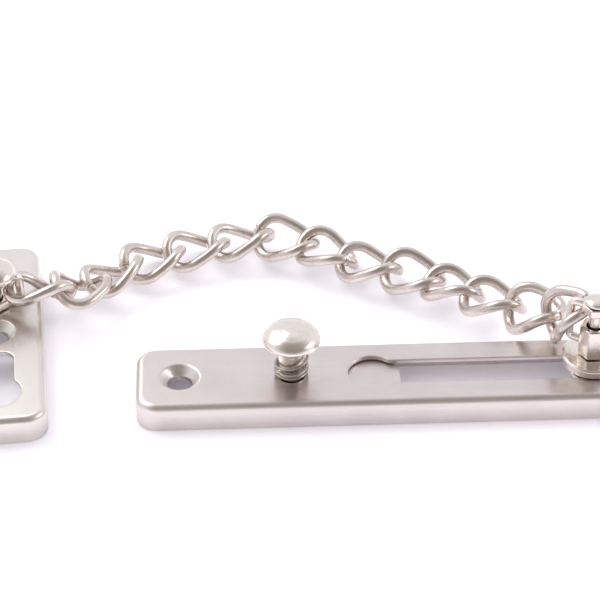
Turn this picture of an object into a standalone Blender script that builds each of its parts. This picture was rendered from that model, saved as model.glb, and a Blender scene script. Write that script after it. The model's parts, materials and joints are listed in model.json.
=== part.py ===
"""Door chain guard: a keyhole track plate with a press-to-release knob, a slider,
a twisted-link chain and an anchor plate, each piece a separate object.

Metres, +Z up. The origin is the middle of the track plate's near rim, on its back: the
plate's length runs along X and its back lies on Z = 0.
"""
import math

import bmesh
import bpy
from mathutils import Matrix, Vector

MM = 0.001

# Pressed plates
PLATE_WIDTH = 19.0 * MM
PLATE_HEIGHT = 6.0 * MM
SHEET = 1.0 * MM
CORNER_RADIUS = 4.2 * MM
EDGE_FILLET = 1.4 * MM
SLOT_CORNER_SHARE = 0.6
TRACK_LENGTH = 118.0 * MM
ANCHOR_LENGTH = 58.0 * MM
FIT_GAP = 0.3 * MM
SMALL_GAP = 0.25 * MM
STEP_GAP = 0.2 * MM

# Countersunk screw holes
SINK_RADIUS = 4.0 * MM
SCREW_RADIUS = 2.2 * MM
SINK_DEPTH = SINK_RADIUS - SCREW_RADIUS
TRACK_SCREW_INSET = 8.8 * MM
ANCHOR_SCREW_FROM_NEAR_END = 28.4 * MM

# Keyholes: a round entry and a slot
TRACK_ENTRY_X = 47.6 * MM
TRACK_ENTRY_RADIUS = 5.0 * MM
TRACK_SLOT_END_X = 98.0 * MM
TRACK_SLOT_HALF = 3.55 * MM
ANCHOR_ENTRY_Y = 9.2 * MM
ANCHOR_ENTRY_RADIUS = 4.7 * MM
ANCHOR_SLOT_END_Y = 21.5 * MM
ANCHOR_SLOT_HALF = 3.35 * MM

# Press knob, its spring and the blocking plate it carries
KNOB_X = 31.2 * MM
KNOB_RADIUS = 5.85 * MM
KNOB_RIM_Z = 14.6 * MM
KNOB_CROWN_Z = 17.8 * MM
KNOB_RIM_HEIGHT = 0.5 * MM
RIM_CHAMFER = 0.3 * MM
STEM_RADIUS = 2.6 * MM
SPRING_WIRE_RADIUS = 0.3 * MM
SPRING_MEAN_RADIUS = 3.2 * MM
SPRING_LOW_TURNS = 2.5
SPRING_OPEN_TURNS = 1.0
SPRING_HIGH_TURNS = 1.5
SPRING_CLOSE_PITCH = 0.85 * MM
BLOCK_THICKNESS = 0.7 * MM
BLOCK_WIDTH = 13.0 * MM
BLOCK_CORNER = 5.2 * MM
BLOCK_LEFT_X = 24.0 * MM
BLOCK_RIGHT_X = 53.2 * MM
WASHER_THICKNESS = 0.4 * MM
KNOB_WASHER_RADIUS = 2.8 * MM
RIVET_LIP = 0.7 * MM
RIVET_HEIGHT = 0.45 * MM

# Slider and its shackle
SLIDER_X = 92.0 * MM
SLIDER_Y = 1.2 * MM
FLANGE_RADIUS = 6.1 * MM
FLANGE_BOTTOM_Z = PLATE_HEIGHT + SMALL_GAP
FLANGE_TOP_Z = FLANGE_BOTTOM_Z + 2.1 * MM
NECK_RADIUS = 2.1 * MM
FOOT_RADIUS = 4.5 * MM
PIN_RADIUS = 1.5 * MM
BORE_RADIUS = PIN_RADIUS + FIT_GAP
BAR_RADIUS = 0.9 * MM
BAR_BEND = 1.17 * MM
BAR_OFFSET = 5.3 * MM
SLEEVE_RADIUS = 3.1 * MM
SLEEVE_SIDES = 6
ROD_SINK = 0.15 * MM
SLIDER_BAR_TURN = math.radians(150.0)
LOWER_SLEEVE_TOP_Z = 15.4 * MM
UPPER_ARM_BOTTOM_Z = 19.1 * MM
UPPER_ARM_TOP_Z = 20.9 * MM
LOWER_BAR_Z = 11.2 * MM
STUD_CAP_RADIUS = 2.5 * MM
STUD_CROWN_Z = 22.2 * MM

# Anchor stud and its shackle
ANCHOR_STUD_FROM_NEAR_END = 37.2 * MM
ANCHOR_HEAD_RADIUS = 4.8 * MM
ANCHOR_HEAD_Z = 14.0 * MM
ANCHOR_CROWN_Z = 16.8 * MM
ANCHOR_RIM_HEIGHT = 0.5 * MM
ANCHOR_WASHER_RADIUS = 3.2 * MM
ANCHOR_ARM_THICKNESS = 1.8 * MM
ANCHOR_TURN = math.radians(4.6)
ANCHOR_BAR_TURN = math.radians(12.0)

# Chain
LINK_COUNT = 14
WIRE_RADIUS = 1.15 * MM
LINK_HALF_LENGTH = 6.55 * MM
LINK_HALF_WIDTH = 5.0 * MM
LINK_TWIST = math.radians(80.0)
LINK_ROLLS = (-24.0, 0.0, -18.0, -6.0, -6.0, -12.0, 10.0, -6.0, -6.0, 8.0, -10.0, -6.0, 24.0, 52.0)
CONTACT_GAP = 0.7 * MM
PITCH = 2 * (LINK_HALF_LENGTH - WIRE_RADIUS) - CONTACT_GAP
LINK_POINTS_PER_ARC = 11
LINK_POINTS_PER_SIDE = 3
PATH_STEP = 0.002
PATH_HALVINGS = 30
SLIDER_EYE_Z = 16.8 * MM
SLIDER_EYE_PLAY = 0.3 * MM

# Segment counts
ROUND_STEPS = 40
SMALL_STEPS = 24
TURN_STEPS = 28
SPRING_STEPS = 14


def clear_scene():
    """Remove whatever the scene holds."""
    for obj in list(bpy.data.objects):
        bpy.data.objects.remove(obj, do_unlink=True)


def make_collection(name):
    """A new collection under the scene."""
    collection = bpy.data.collections.new(name)
    bpy.context.scene.collection.children.link(collection)
    return collection


def metal(name, colour, roughness):
    """A plain metal finish."""
    material = bpy.data.materials.new(name)
    material.use_nodes = True
    shader = material.node_tree.nodes["Principled BSDF"]
    shader.inputs["Base Color"].default_value = (*colour, 1.0)
    shader.inputs["Roughness"].default_value = roughness
    shader.inputs["Metallic"].default_value = 1.0
    return material


def plate_metal(name):
    """Brushed satin nickel."""
    return metal(name, (0.66, 0.63, 0.61), 0.38)


def turned_metal(name):
    """Bright turned nickel."""
    return metal(name, (0.72, 0.68, 0.63), 0.2)


def wire_metal(name):
    """Satin nickel wire."""
    return metal(name, (0.62, 0.59, 0.55), 0.3)


def add_object(name, data, collection, material=None):
    """Put mesh or curve data in a collection as a named object."""
    obj = bpy.data.objects.new(name, data)
    collection.objects.link(obj)
    if material is not None:
        data.materials.append(material)
    return obj


def smooth(obj):
    """Smooth shading that keeps the turned edges crisp."""
    obj.data.shade_smooth()
    obj.data.set_sharp_from_angle(angle=math.radians(30.0))


def mesh_from_bmesh(name, bm):
    """Turn a bmesh into mesh data."""
    mesh = bpy.data.meshes.new(name)
    bm.to_mesh(mesh)
    bm.free()
    return mesh


def as_cutter(obj):
    """Mark an object as a Boolean operand that is not itself a part."""
    obj.hide_render = True
    obj.display_type = "WIRE"
    return obj


def apply_boolean(obj, operand, operation, solver="EXACT"):
    """Cut or join another solid."""
    modifier = obj.modifiers.new(operand.name, "BOOLEAN")
    modifier.object = operand
    modifier.operation = operation
    modifier.solver = solver


def rounded_box(name, size, centre, collection, corner, fillet=0.0, material=None):
    """A box with rounded upright corners and, if wanted, a filleted top edge."""
    bm = bmesh.new()
    bmesh.ops.create_cube(bm, size=1.0)
    bmesh.ops.scale(bm, vec=Vector(size), verts=bm.verts)
    upright = [e for e in bm.edges if abs(e.verts[0].co.z - e.verts[1].co.z) > size[2] / 2]
    bmesh.ops.bevel(bm, geom=upright, offset=corner, segments=6, profile=0.5, affect="EDGES")
    if fillet > 0.0:
        top = [e for e in bm.edges if all(v.co.z > size[2] / 2 - 1e-6 for v in e.verts)]
        bmesh.ops.bevel(bm, geom=top, offset=fillet, segments=3, profile=0.5, affect="EDGES")
    bmesh.ops.recalc_face_normals(bm, faces=bm.faces)
    obj = add_object(name, mesh_from_bmesh(name, bm), collection, material)
    obj.location = centre
    return obj


def turned(name, profile, collection, steps, material=None):
    """A turned solid: the profile runs from top to bottom on its outer side."""
    mesh = bpy.data.meshes.new(name)
    points = [(radius, 0.0, height) for radius, height in profile]
    edges = [(i, i + 1) for i in range(len(points) - 1)]
    if profile[0][0] > 0.0:
        edges.append((len(points) - 1, 0))
    mesh.from_pydata(points, edges, [])
    obj = add_object(name, mesh, collection, material)
    screw = obj.modifiers.new("Turn", "SCREW")
    screw.steps = steps
    screw.render_steps = steps
    screw.use_merge_vertices = True
    screw.merge_threshold = 0.00001
    screw.use_smooth_shade = True
    return obj


def disc_profile(radius, bore, top, bottom):
    """Closed profile of a flat washer."""
    return [(bore, top), (radius, top), (radius, bottom), (bore, bottom)]


def dome_points(radius, rim_z, crown_z, count):
    """Points of a dome from its crown down to its rim."""
    points = []
    for i in range(count + 1):
        angle = math.pi / 2 * i / count
        height = rim_z + (crown_z - rim_z) * math.cos(angle)
        points.append((radius * math.sin(angle), height))
    return points


def cylinder_cutter(name, radius, low, high, x, y, cutters, steps):
    """An upright cylinder for a round hole."""
    cutter = turned(name, [(0.0, high), (radius, high), (radius, low), (0.0, low)], cutters, steps)
    cutter.location = (x, y, 0.0)
    return as_cutter(cutter)


def screw_hole(plate, name, x, y, cutters):
    """A dished, countersunk screw hole: a cone of sheet pressed down, then the hole."""
    top = PLATE_HEIGHT
    dish = turned(name + "_dish", [
        (0.0, top - SHEET / 2),
        (SINK_RADIUS + SHEET, top - SHEET / 2),
        (SINK_RADIUS + SHEET / 2, top - SHEET - STEP_GAP),
        (SCREW_RADIUS + SHEET, top - SINK_DEPTH - SHEET),
        (0.0, top - SINK_DEPTH - SHEET),
    ], cutters, ROUND_STEPS)
    dish.location = (x, y, 0.0)
    apply_boolean(plate, as_cutter(dish), "UNION", "MANIFOLD")
    sink = turned(name + "_sink", [
        (0.0, top + SHEET),
        (SINK_RADIUS + SHEET, top + SHEET),
        (SCREW_RADIUS, top - SINK_DEPTH),
        (SCREW_RADIUS, 0.0),
        (0.0, 0.0),
    ], cutters, ROUND_STEPS)
    sink.location = (x, y, 0.0)
    apply_boolean(plate, as_cutter(sink), "DIFFERENCE", "MANIFOLD")


def pressed_plate(name, length, along_x, parts, cutters):
    """A shallow pressed tray, open at the back, centred on its own origin."""
    outer = (length, PLATE_WIDTH) if along_x else (PLATE_WIDTH, length)
    plate = rounded_box(name, (*outer, PLATE_HEIGHT), (0.0, 0.0, PLATE_HEIGHT / 2), parts,
                        CORNER_RADIUS, EDGE_FILLET, plate_metal(name))
    for vertex in plate.data.vertices:
        vertex.co.z += PLATE_HEIGHT / 2
    plate.location = (0.0, 0.0, 0.0)
    hollow = rounded_box(
        name + "_hollow", (outer[0] - 2 * SHEET, outer[1] - 2 * SHEET, PLATE_HEIGHT),
        (0.0, 0.0, PLATE_HEIGHT / 2 - SHEET), cutters,
        CORNER_RADIUS - SHEET, EDGE_FILLET - SHEET / 2)
    apply_boolean(plate, as_cutter(hollow), "DIFFERENCE", "MANIFOLD")
    smooth(plate)
    return plate


def track_x(from_left_end):
    """World X of a distance from the track plate's left end."""
    return from_left_end - TRACK_LENGTH / 2


def build_track_plate(parts, cutters):
    """The long plate with its keyhole and the hole for the knob's stem."""
    plate = pressed_plate("track_plate", TRACK_LENGTH, True, parts, cutters)
    for side, inset in (("left", TRACK_SCREW_INSET), ("right", TRACK_LENGTH - TRACK_SCREW_INSET)):
        screw_hole(plate, "track_screw_" + side, track_x(inset), 0.0, cutters)
    low = PLATE_HEIGHT - 2 * SHEET
    high = PLATE_HEIGHT + SHEET
    entry = cylinder_cutter("track_entry", TRACK_ENTRY_RADIUS, low, high,
                            track_x(TRACK_ENTRY_X), 0.0, cutters, ROUND_STEPS)
    apply_boolean(plate, entry, "DIFFERENCE", "MANIFOLD")
    slot_length = TRACK_SLOT_END_X - TRACK_ENTRY_X
    slot = rounded_box("track_slot", (slot_length, 2 * TRACK_SLOT_HALF, high - low),
                       (track_x(TRACK_ENTRY_X + slot_length / 2), 0.0, (low + high) / 2),
                       cutters, TRACK_SLOT_HALF * SLOT_CORNER_SHARE)
    apply_boolean(plate, as_cutter(slot), "DIFFERENCE", "MANIFOLD")
    stem_hole = cylinder_cutter("stem_hole", STEM_RADIUS + FIT_GAP, low, high,
                                track_x(KNOB_X), 0.0, cutters, SMALL_STEPS)
    apply_boolean(plate, stem_hole, "DIFFERENCE", "MANIFOLD")
    return plate


def build_anchor_plate(stud_axis, parts, cutters):
    """The short plate with a keyhole that parks the slider, its origin on its stud's axis."""
    plate = pressed_plate("anchor_plate", ANCHOR_LENGTH, False, parts, cutters)
    screw_hole(plate, "anchor_screw", 0.0, ANCHOR_SCREW_FROM_NEAR_END - ANCHOR_LENGTH / 2, cutters)
    low = PLATE_HEIGHT - 2 * SHEET
    high = PLATE_HEIGHT + SHEET
    entry_y = ANCHOR_ENTRY_Y - ANCHOR_LENGTH / 2
    entry = cylinder_cutter("anchor_entry", ANCHOR_ENTRY_RADIUS, low, high, 0.0, entry_y,
                            cutters, ROUND_STEPS)
    apply_boolean(plate, entry, "DIFFERENCE", "MANIFOLD")
    slot_length = ANCHOR_SLOT_END_Y - ANCHOR_ENTRY_Y
    slot = rounded_box("anchor_slot", (2 * ANCHOR_SLOT_HALF, slot_length, high - low),
                       (0.0, entry_y + slot_length / 2, (low + high) / 2),
                       cutters, ANCHOR_SLOT_HALF * SLOT_CORNER_SHARE)
    apply_boolean(plate, as_cutter(slot), "DIFFERENCE", "MANIFOLD")
    stud_y = ANCHOR_STUD_FROM_NEAR_END - ANCHOR_LENGTH / 2
    hole = cylinder_cutter("anchor_stud_hole", BORE_RADIUS, low, high, 0.0, stud_y, cutters,
                           SMALL_STEPS)
    apply_boolean(plate, hole, "DIFFERENCE", "MANIFOLD")
    to_stud = Matrix.Translation((0.0, -stud_y, 0.0))
    plate.data.transform(to_stud)
    pose = Matrix.Translation((*stud_axis, 0.0)) @ Matrix.Rotation(ANCHOR_TURN, 4, "Z")
    plate.matrix_world = pose
    for name in ("anchor_plate_hollow", "anchor_screw_dish", "anchor_screw_sink",
                 "anchor_entry", "anchor_slot", "anchor_stud_hole"):
        cutter = bpy.data.objects[name]
        cutter.matrix_world = pose @ to_stud @ Matrix.Translation(cutter.location)


def under_sheet():
    """Top and bottom heights of a flat piece riveted just under the sheet."""
    top = PLATE_HEIGHT - SHEET - FIT_GAP
    return top, top - BLOCK_THICKNESS


def rivet_end(top):
    """Profile points of a peened pin end whose upset rim starts at top."""
    return [
        (PIN_RADIUS, top),
        (PIN_RADIUS + RIVET_LIP, top),
        (PIN_RADIUS + RIVET_LIP - STEP_GAP, top - RIVET_HEIGHT),
        (0.0, top - RIVET_HEIGHT),
    ]


def build_press_knob(parts):
    """Mushroom knob, stem and riveted end in one turned piece."""
    block_top, block_bottom = under_sheet()
    washer_top = block_bottom - SMALL_GAP
    washer_bottom = washer_top - WASHER_THICKNESS
    profile = dome_points(KNOB_RADIUS, KNOB_RIM_Z + KNOB_RIM_HEIGHT, KNOB_CROWN_Z, 7)
    profile += [
        (KNOB_RADIUS, KNOB_RIM_Z + RIM_CHAMFER),
        (KNOB_RADIUS - RIM_CHAMFER, KNOB_RIM_Z),
        (STEM_RADIUS, KNOB_RIM_Z),
        (STEM_RADIUS, block_top + STEP_GAP),
        (PIN_RADIUS, block_top + STEP_GAP),
    ]
    profile += rivet_end(washer_bottom - STEP_GAP)
    knob = turned("press_knob", profile, parts, TURN_STEPS, turned_metal("press_knob"))
    knob.location = (track_x(KNOB_X), 0.0, 0.0)
    washer = turned("knob_washer",
                    disc_profile(KNOB_WASHER_RADIUS, BORE_RADIUS, washer_top, washer_bottom),
                    parts, SMALL_STEPS, turned_metal("knob_washer"))
    washer.location = knob.location


def build_blocking_plate(parts, cutters):
    """The flat tongue that closes the keyhole's round entry from below."""
    top, bottom = under_sheet()
    length = BLOCK_RIGHT_X - BLOCK_LEFT_X
    plate = rounded_box("blocking_plate", (length, BLOCK_WIDTH, top - bottom),
                        (track_x(BLOCK_LEFT_X + length / 2), 0.0, (top + bottom) / 2), parts,
                        BLOCK_CORNER, 0.0, plate_metal("blocking_plate"))
    hole = cylinder_cutter("block_hole", BORE_RADIUS, bottom - SHEET, top + SHEET,
                           track_x(KNOB_X), 0.0, cutters, SMALL_STEPS)
    apply_boolean(plate, hole, "DIFFERENCE", "MANIFOLD")


def coil_height(turn, low, high):
    """Height of the coil's wire after some turns: close at both ends, open between."""
    open_low = low + SPRING_CLOSE_PITCH * SPRING_LOW_TURNS
    open_high = high - SPRING_CLOSE_PITCH * SPRING_HIGH_TURNS
    if turn <= SPRING_LOW_TURNS:
        return low + SPRING_CLOSE_PITCH * turn
    past_low = turn - SPRING_LOW_TURNS
    if past_low <= SPRING_OPEN_TURNS:
        return open_low + (open_high - open_low) * past_low / SPRING_OPEN_TURNS
    return open_high + SPRING_CLOSE_PITCH * (past_low - SPRING_OPEN_TURNS)


def build_knob_spring(parts):
    """Coil spring between the track plate and the knob's head."""
    low = PLATE_HEIGHT + FIT_GAP + SPRING_WIRE_RADIUS
    high = KNOB_RIM_Z - FIT_GAP - SPRING_WIRE_RADIUS
    curve = bpy.data.curves.new("knob_spring", "CURVE")
    curve.dimensions = "3D"
    curve.bevel_depth = SPRING_WIRE_RADIUS
    curve.bevel_resolution = 1
    curve.use_fill_caps = True
    turns = SPRING_LOW_TURNS + SPRING_OPEN_TURNS + SPRING_HIGH_TURNS
    count = round(turns * SPRING_STEPS)
    spline = curve.splines.new("POLY")
    spline.points.add(count)
    for i in range(count + 1):
        turn = turns * i / count
        angle = 2 * math.pi * turn
        spline.points[i].co = (SPRING_MEAN_RADIUS * math.cos(angle),
                               SPRING_MEAN_RADIUS * math.sin(angle),
                               coil_height(turn, low, high), 1.0)
    spring = add_object("knob_spring", curve, parts, wire_metal("knob_spring"))
    spring.location = (track_x(KNOB_X), 0.0, 0.0)


def build_slider_stud(parts):
    """Flange, neck and pin of the slider, in one turned piece."""
    foot_top, foot_bottom = under_sheet()
    cap_bottom = UPPER_ARM_TOP_Z + FIT_GAP
    profile = dome_points(STUD_CAP_RADIUS, cap_bottom + RIM_CHAMFER, STUD_CROWN_Z, 5)
    profile += [
        (STUD_CAP_RADIUS, cap_bottom),
        (PIN_RADIUS, cap_bottom),
        (PIN_RADIUS, FLANGE_TOP_Z),
        (FLANGE_RADIUS - RIM_CHAMFER, FLANGE_TOP_Z),
        (FLANGE_RADIUS, FLANGE_TOP_Z - RIM_CHAMFER),
        (FLANGE_RADIUS, FLANGE_BOTTOM_Z + STEP_GAP),
        (FLANGE_RADIUS - STEP_GAP, FLANGE_BOTTOM_Z),
        (NECK_RADIUS, FLANGE_BOTTOM_Z),
        (NECK_RADIUS, foot_top + STEP_GAP),
        (PIN_RADIUS, foot_top + STEP_GAP),
    ]
    profile += rivet_end(foot_bottom - SMALL_GAP)
    stud = turned("slider_stud", profile, parts, TURN_STEPS, turned_metal("slider_stud"))
    stud.location = (track_x(SLIDER_X), SLIDER_Y, 0.0)
    foot = turned("slider_foot", disc_profile(FOOT_RADIUS, BORE_RADIUS, foot_top, foot_bottom),
                  parts, TURN_STEPS, turned_metal("slider_foot"))
    foot.location = stud.location


def eye_curve(name, low_z, high_z, inner_x, cutters):
    """The C-shaped rod of a shackle: in at low_z, up the bar, back in at high_z."""
    curve = bpy.data.curves.new(name, "CURVE")
    curve.dimensions = "3D"
    curve.bevel_depth = BAR_RADIUS
    curve.bevel_resolution = 1
    curve.use_fill_caps = True
    points = [(inner_x, low_z)]
    for centre_z, start in ((low_z + BAR_BEND, -90.0), (high_z - BAR_BEND, 0.0)):
        for step in range(4):
            angle = math.radians(start + 30.0 * step)
            points.append((BAR_OFFSET - BAR_BEND + BAR_BEND * math.cos(angle),
                           centre_z + BAR_BEND * math.sin(angle)))
    points.append((inner_x, high_z))
    spline = curve.splines.new("POLY")
    spline.points.add(len(points) - 1)
    for i, (x, z) in enumerate(points):
        spline.points[i].co = (x, 0.0, z, 1.0)
    return add_object(name + "_curve", curve, cutters)


def curve_to_mesh(obj, name, collection):
    """Turn a curve object into a closed mesh object and drop the curve."""
    bpy.context.view_layer.update()
    evaluated = obj.evaluated_get(bpy.context.evaluated_depsgraph_get())
    mesh = bpy.data.meshes.new_from_object(evaluated)
    bm = bmesh.new()
    bm.from_mesh(mesh)
    bmesh.ops.remove_doubles(bm, verts=bm.verts, dist=1e-7)
    bmesh.ops.recalc_face_normals(bm, faces=bm.faces)
    bm.to_mesh(mesh)
    bm.free()
    world = obj.matrix_world.copy()
    bpy.data.objects.remove(obj, do_unlink=True)
    new = add_object(name, mesh, collection)
    new.matrix_world = world
    return new


def prism(name, low, high, collection, material=None):
    """An upright hexagonal sleeve blank with a flat side facing +X."""
    bm = bmesh.new()
    bmesh.ops.create_cone(bm, cap_ends=True, segments=SLEEVE_SIDES, radius1=SLEEVE_RADIUS,
                          radius2=SLEEVE_RADIUS, depth=high - low)
    bmesh.ops.rotate(bm, verts=bm.verts, matrix=Matrix.Rotation(math.pi / SLEEVE_SIDES, 3, "Z"))
    bmesh.ops.translate(bm, verts=bm.verts, vec=Vector((0.0, 0.0, (low + high) / 2)))
    bmesh.ops.recalc_face_normals(bm, faces=bm.faces)
    return add_object(name, mesh_from_bmesh(name, bm), collection, material)


def build_shackle(name, axis, turn, sleeves, rod, origin_x, parts, cutters):
    """A swivelling eye: two sleeves round the stud joined by an upright bar.

    sleeves are (bottom, top) of the two sleeves, lowest first, rod holds the heights of the
    bar's two bends, and origin_x is how far from the stud the body has its origin.
    """
    body = prism(name, *sleeves[0], parts, turned_metal(name))
    upper = prism(name + "_upper", *sleeves[1], cutters)
    curve = eye_curve(name + "_eye", rod[0], rod[1], BORE_RADIUS + ROD_SINK, cutters)
    eye = curve_to_mesh(curve, name + "_eye", cutters)
    bore = cylinder_cutter(name + "_bore", BORE_RADIUS, sleeves[0][0] - SHEET,
                           sleeves[1][1] + SHEET, 0.0, 0.0, cutters, SMALL_STEPS)
    pose = Matrix.Translation((*axis, 0.0)) @ Matrix.Rotation(turn, 4, "Z")
    for operand, operation in ((upper, "UNION"), (eye, "UNION"), (bore, "DIFFERENCE")):
        apply_boolean(body, as_cutter(operand), operation)
        operand.matrix_world = pose
    body.data.transform(Matrix.Translation((-origin_x, 0.0, 0.0)))
    body.matrix_world = pose @ Matrix.Translation((origin_x, 0.0, 0.0))
    smooth(body)


def build_anchor_stud(axis, parts):
    """Domed rivet of the anchor plate, and the washer it is riveted over."""
    washer_top, washer_bottom = under_sheet()
    profile = dome_points(ANCHOR_HEAD_RADIUS, ANCHOR_HEAD_Z + ANCHOR_RIM_HEIGHT, ANCHOR_CROWN_Z, 6)
    profile += [
        (ANCHOR_HEAD_RADIUS, ANCHOR_HEAD_Z + RIM_CHAMFER),
        (ANCHOR_HEAD_RADIUS - RIM_CHAMFER, ANCHOR_HEAD_Z),
        (PIN_RADIUS, ANCHOR_HEAD_Z),
    ]
    profile += rivet_end(washer_bottom - SMALL_GAP)
    stud = turned("anchor_stud", profile, parts, TURN_STEPS, turned_metal("anchor_stud"))
    stud.location = (*axis, 0.0)
    washer = turned("anchor_washer",
                    disc_profile(ANCHOR_WASHER_RADIUS, BORE_RADIUS, washer_top, washer_bottom),
                    parts, SMALL_STEPS, turned_metal("anchor_washer"))
    washer.location = stud.location


def chain_path():
    """Points that the laid-out chain passes through, from the slider to the anchor."""
    reach = eye_reach() - SLIDER_EYE_PLAY
    eye = Vector((track_x(SLIDER_X) + reach * math.cos(SLIDER_BAR_TURN),
                  SLIDER_Y + reach * math.sin(SLIDER_BAR_TURN), SLIDER_EYE_Z))
    laid = [
        (84.8, 10.7, 11.0),
        (78.3, 17.7, 7.9),
        (70.3, 23.8, 6.8),
        (63.0, 30.7, 5.4),
        (54.4, 35.9, 4.9),
        (44.9, 39.5, 4.6),
        (36.9, 45.6, 5.2),
        (27.2, 48.5, 5.2),
        (17.2, 46.8, 4.5),
        (7.5, 44.3, 4.3),
        (-1.7, 39.9, 4.4),
        (-9.4, 33.5, 4.8),
        (-15.3, 26.2, 8.5),
        (-25.3, 25.8, 9.8),
        (-35.2, 25.5, 9.8),
    ]
    points = [eye]
    for x, y, z in laid:
        points.append(Vector((track_x(x * MM), y * MM, z * MM)))
    return points


def eye_reach():
    """Distance from a stud's axis to the contact of bar and link."""
    return BAR_OFFSET - BAR_RADIUS


def path_point(points, place):
    """Catmull-Rom point at a place counted in control points."""
    last = len(points) - 1
    index = min(int(place), last - 1)
    t = place - index
    before = points[index - 1] if index > 0 else 2 * points[0] - points[1]
    after = points[index + 2] if index + 2 <= last else 2 * points[last] - points[last - 1]
    p1 = points[index]
    p2 = points[index + 1]
    return 0.5 * ((2 * p1) + (p2 - before) * t + (2 * before - 5 * p1 + 4 * p2 - after) * t ** 2
                  + (3 * p1 - before - 3 * p2 + after) * t ** 3)


def chain_contacts():
    """Contact points between neighbours, from the anchor's bar to the slider's bar."""
    points = chain_path()
    contacts = [points[0].copy()]
    place = 0.0
    for _ in range(LINK_COUNT):
        here = contacts[-1]
        while (path_point(points, place) - here).length < PITCH:
            place += PATH_STEP
        low = place - PATH_STEP
        high = place
        for _ in range(PATH_HALVINGS):
            middle = (low + high) / 2
            if (path_point(points, middle) - here).length < PITCH:
                low = middle
            else:
                high = middle
        place = high
        contacts.append(path_point(points, place))
    contacts.reverse()
    return contacts


def link_frame(start, end):
    """Length, width and rise directions of a link between two contacts."""
    along = (end - start).normalized()
    rise = (Vector((0.0, 0.0, 1.0)) - along * along.z).normalized()
    width = rise.cross(along)
    return along, width, rise


def link_outline():
    """Centreline of a flat link as (along, across) points: two arcs and two sides."""
    straight = LINK_HALF_LENGTH - LINK_HALF_WIDTH
    outline = []
    for sign in (1.0, -1.0):
        for i in range(LINK_POINTS_PER_ARC + 1):
            angle = math.pi * i / LINK_POINTS_PER_ARC - math.pi / 2
            outline.append((sign * (straight + LINK_HALF_WIDTH * math.cos(angle)),
                            sign * LINK_HALF_WIDTH * math.sin(angle)))
        for i in range(1, LINK_POINTS_PER_SIDE):
            share = i / LINK_POINTS_PER_SIDE
            outline.append((sign * straight * (1 - 2 * share), sign * LINK_HALF_WIDTH))
    return outline


def build_link(index, start, end, pivot, parts):
    """One twisted link between two contacts, its origin at the pivot it swings from."""
    along, width, rise = link_frame(start, end)
    middle = (start + end) / 2 - pivot
    roll = math.radians(LINK_ROLLS[index - 1])
    name = f"link_{index:02d}"
    curve = bpy.data.curves.new(name, "CURVE")
    curve.dimensions = "3D"
    curve.bevel_depth = WIRE_RADIUS
    curve.bevel_resolution = 2
    outline = link_outline()
    spline = curve.splines.new("POLY")
    spline.points.add(len(outline) - 1)
    spline.use_cyclic_u = True
    for i, (x, y) in enumerate(outline):
        angle = roll - LINK_TWIST / 2 * x / LINK_HALF_LENGTH
        point = middle + along * x + (width * math.cos(angle) + rise * math.sin(angle)) * y
        spline.points[i].co = (*point, 1.0)
    link = add_object(name, curve, parts, wire_metal(name))
    link.location = pivot


def move_origin_to_rim():
    """Shift everything from the plate's centreline to the middle of its near rim."""
    for obj in bpy.data.objects:
        obj.location.y += PLATE_WIDTH / 2 - SHEET / 2


def build():
    """Build every part of the door chain guard."""
    clear_scene()
    parts = make_collection("door_chain_guard")
    cutters = make_collection("cutters")
    build_track_plate(parts, cutters)
    build_press_knob(parts)
    build_knob_spring(parts)
    build_blocking_plate(parts, cutters)
    build_slider_stud(parts)
    slider_axis = (track_x(SLIDER_X), SLIDER_Y)
    slider_sleeves = (
        (FLANGE_TOP_Z + FIT_GAP, LOWER_SLEEVE_TOP_Z),
        (UPPER_ARM_BOTTOM_Z, UPPER_ARM_TOP_Z),
    )
    upper_middle = (UPPER_ARM_BOTTOM_Z + UPPER_ARM_TOP_Z) / 2
    build_shackle("slider_shackle", slider_axis, SLIDER_BAR_TURN, slider_sleeves,
                  (LOWER_BAR_Z, upper_middle), 0.0, parts, cutters)
    contacts = chain_contacts()
    slider_bar = (slider_axis[0] + BAR_OFFSET * math.cos(SLIDER_BAR_TURN),
                  slider_axis[1] + BAR_OFFSET * math.sin(SLIDER_BAR_TURN), SLIDER_EYE_Z)
    pivots = contacts[1:-1] + [Vector(slider_bar)]
    for index, pivot in enumerate(pivots, start=1):
        build_link(index, contacts[index - 1], contacts[index], pivot, parts)
    reach = eye_reach()
    anchor_axis = (contacts[0].x - reach * math.cos(ANCHOR_BAR_TURN),
                   contacts[0].y - reach * math.sin(ANCHOR_BAR_TURN))
    build_anchor_plate(anchor_axis, parts, cutters)
    build_anchor_stud(anchor_axis, parts)
    lower = PLATE_HEIGHT + FIT_GAP
    upper = ANCHOR_HEAD_Z - FIT_GAP
    anchor_sleeves = (
        (lower, lower + ANCHOR_ARM_THICKNESS),
        (upper - ANCHOR_ARM_THICKNESS, upper),
    )
    build_shackle("anchor_shackle", anchor_axis, ANCHOR_BAR_TURN, anchor_sleeves,
                  (lower + BAR_RADIUS, upper - BAR_RADIUS), BAR_OFFSET, parts, cutters)
    move_origin_to_rim()


build()
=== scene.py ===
"""Looks of the door chain guard: fine meshes, metal finishes, floor, light and camera.

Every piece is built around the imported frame. Lengths inside the builders are millimetres,
and meshes are scaled to metres when they are made.
"""
import json
import math

import bmesh
import bpy
from mathutils import Matrix, Vector


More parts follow.
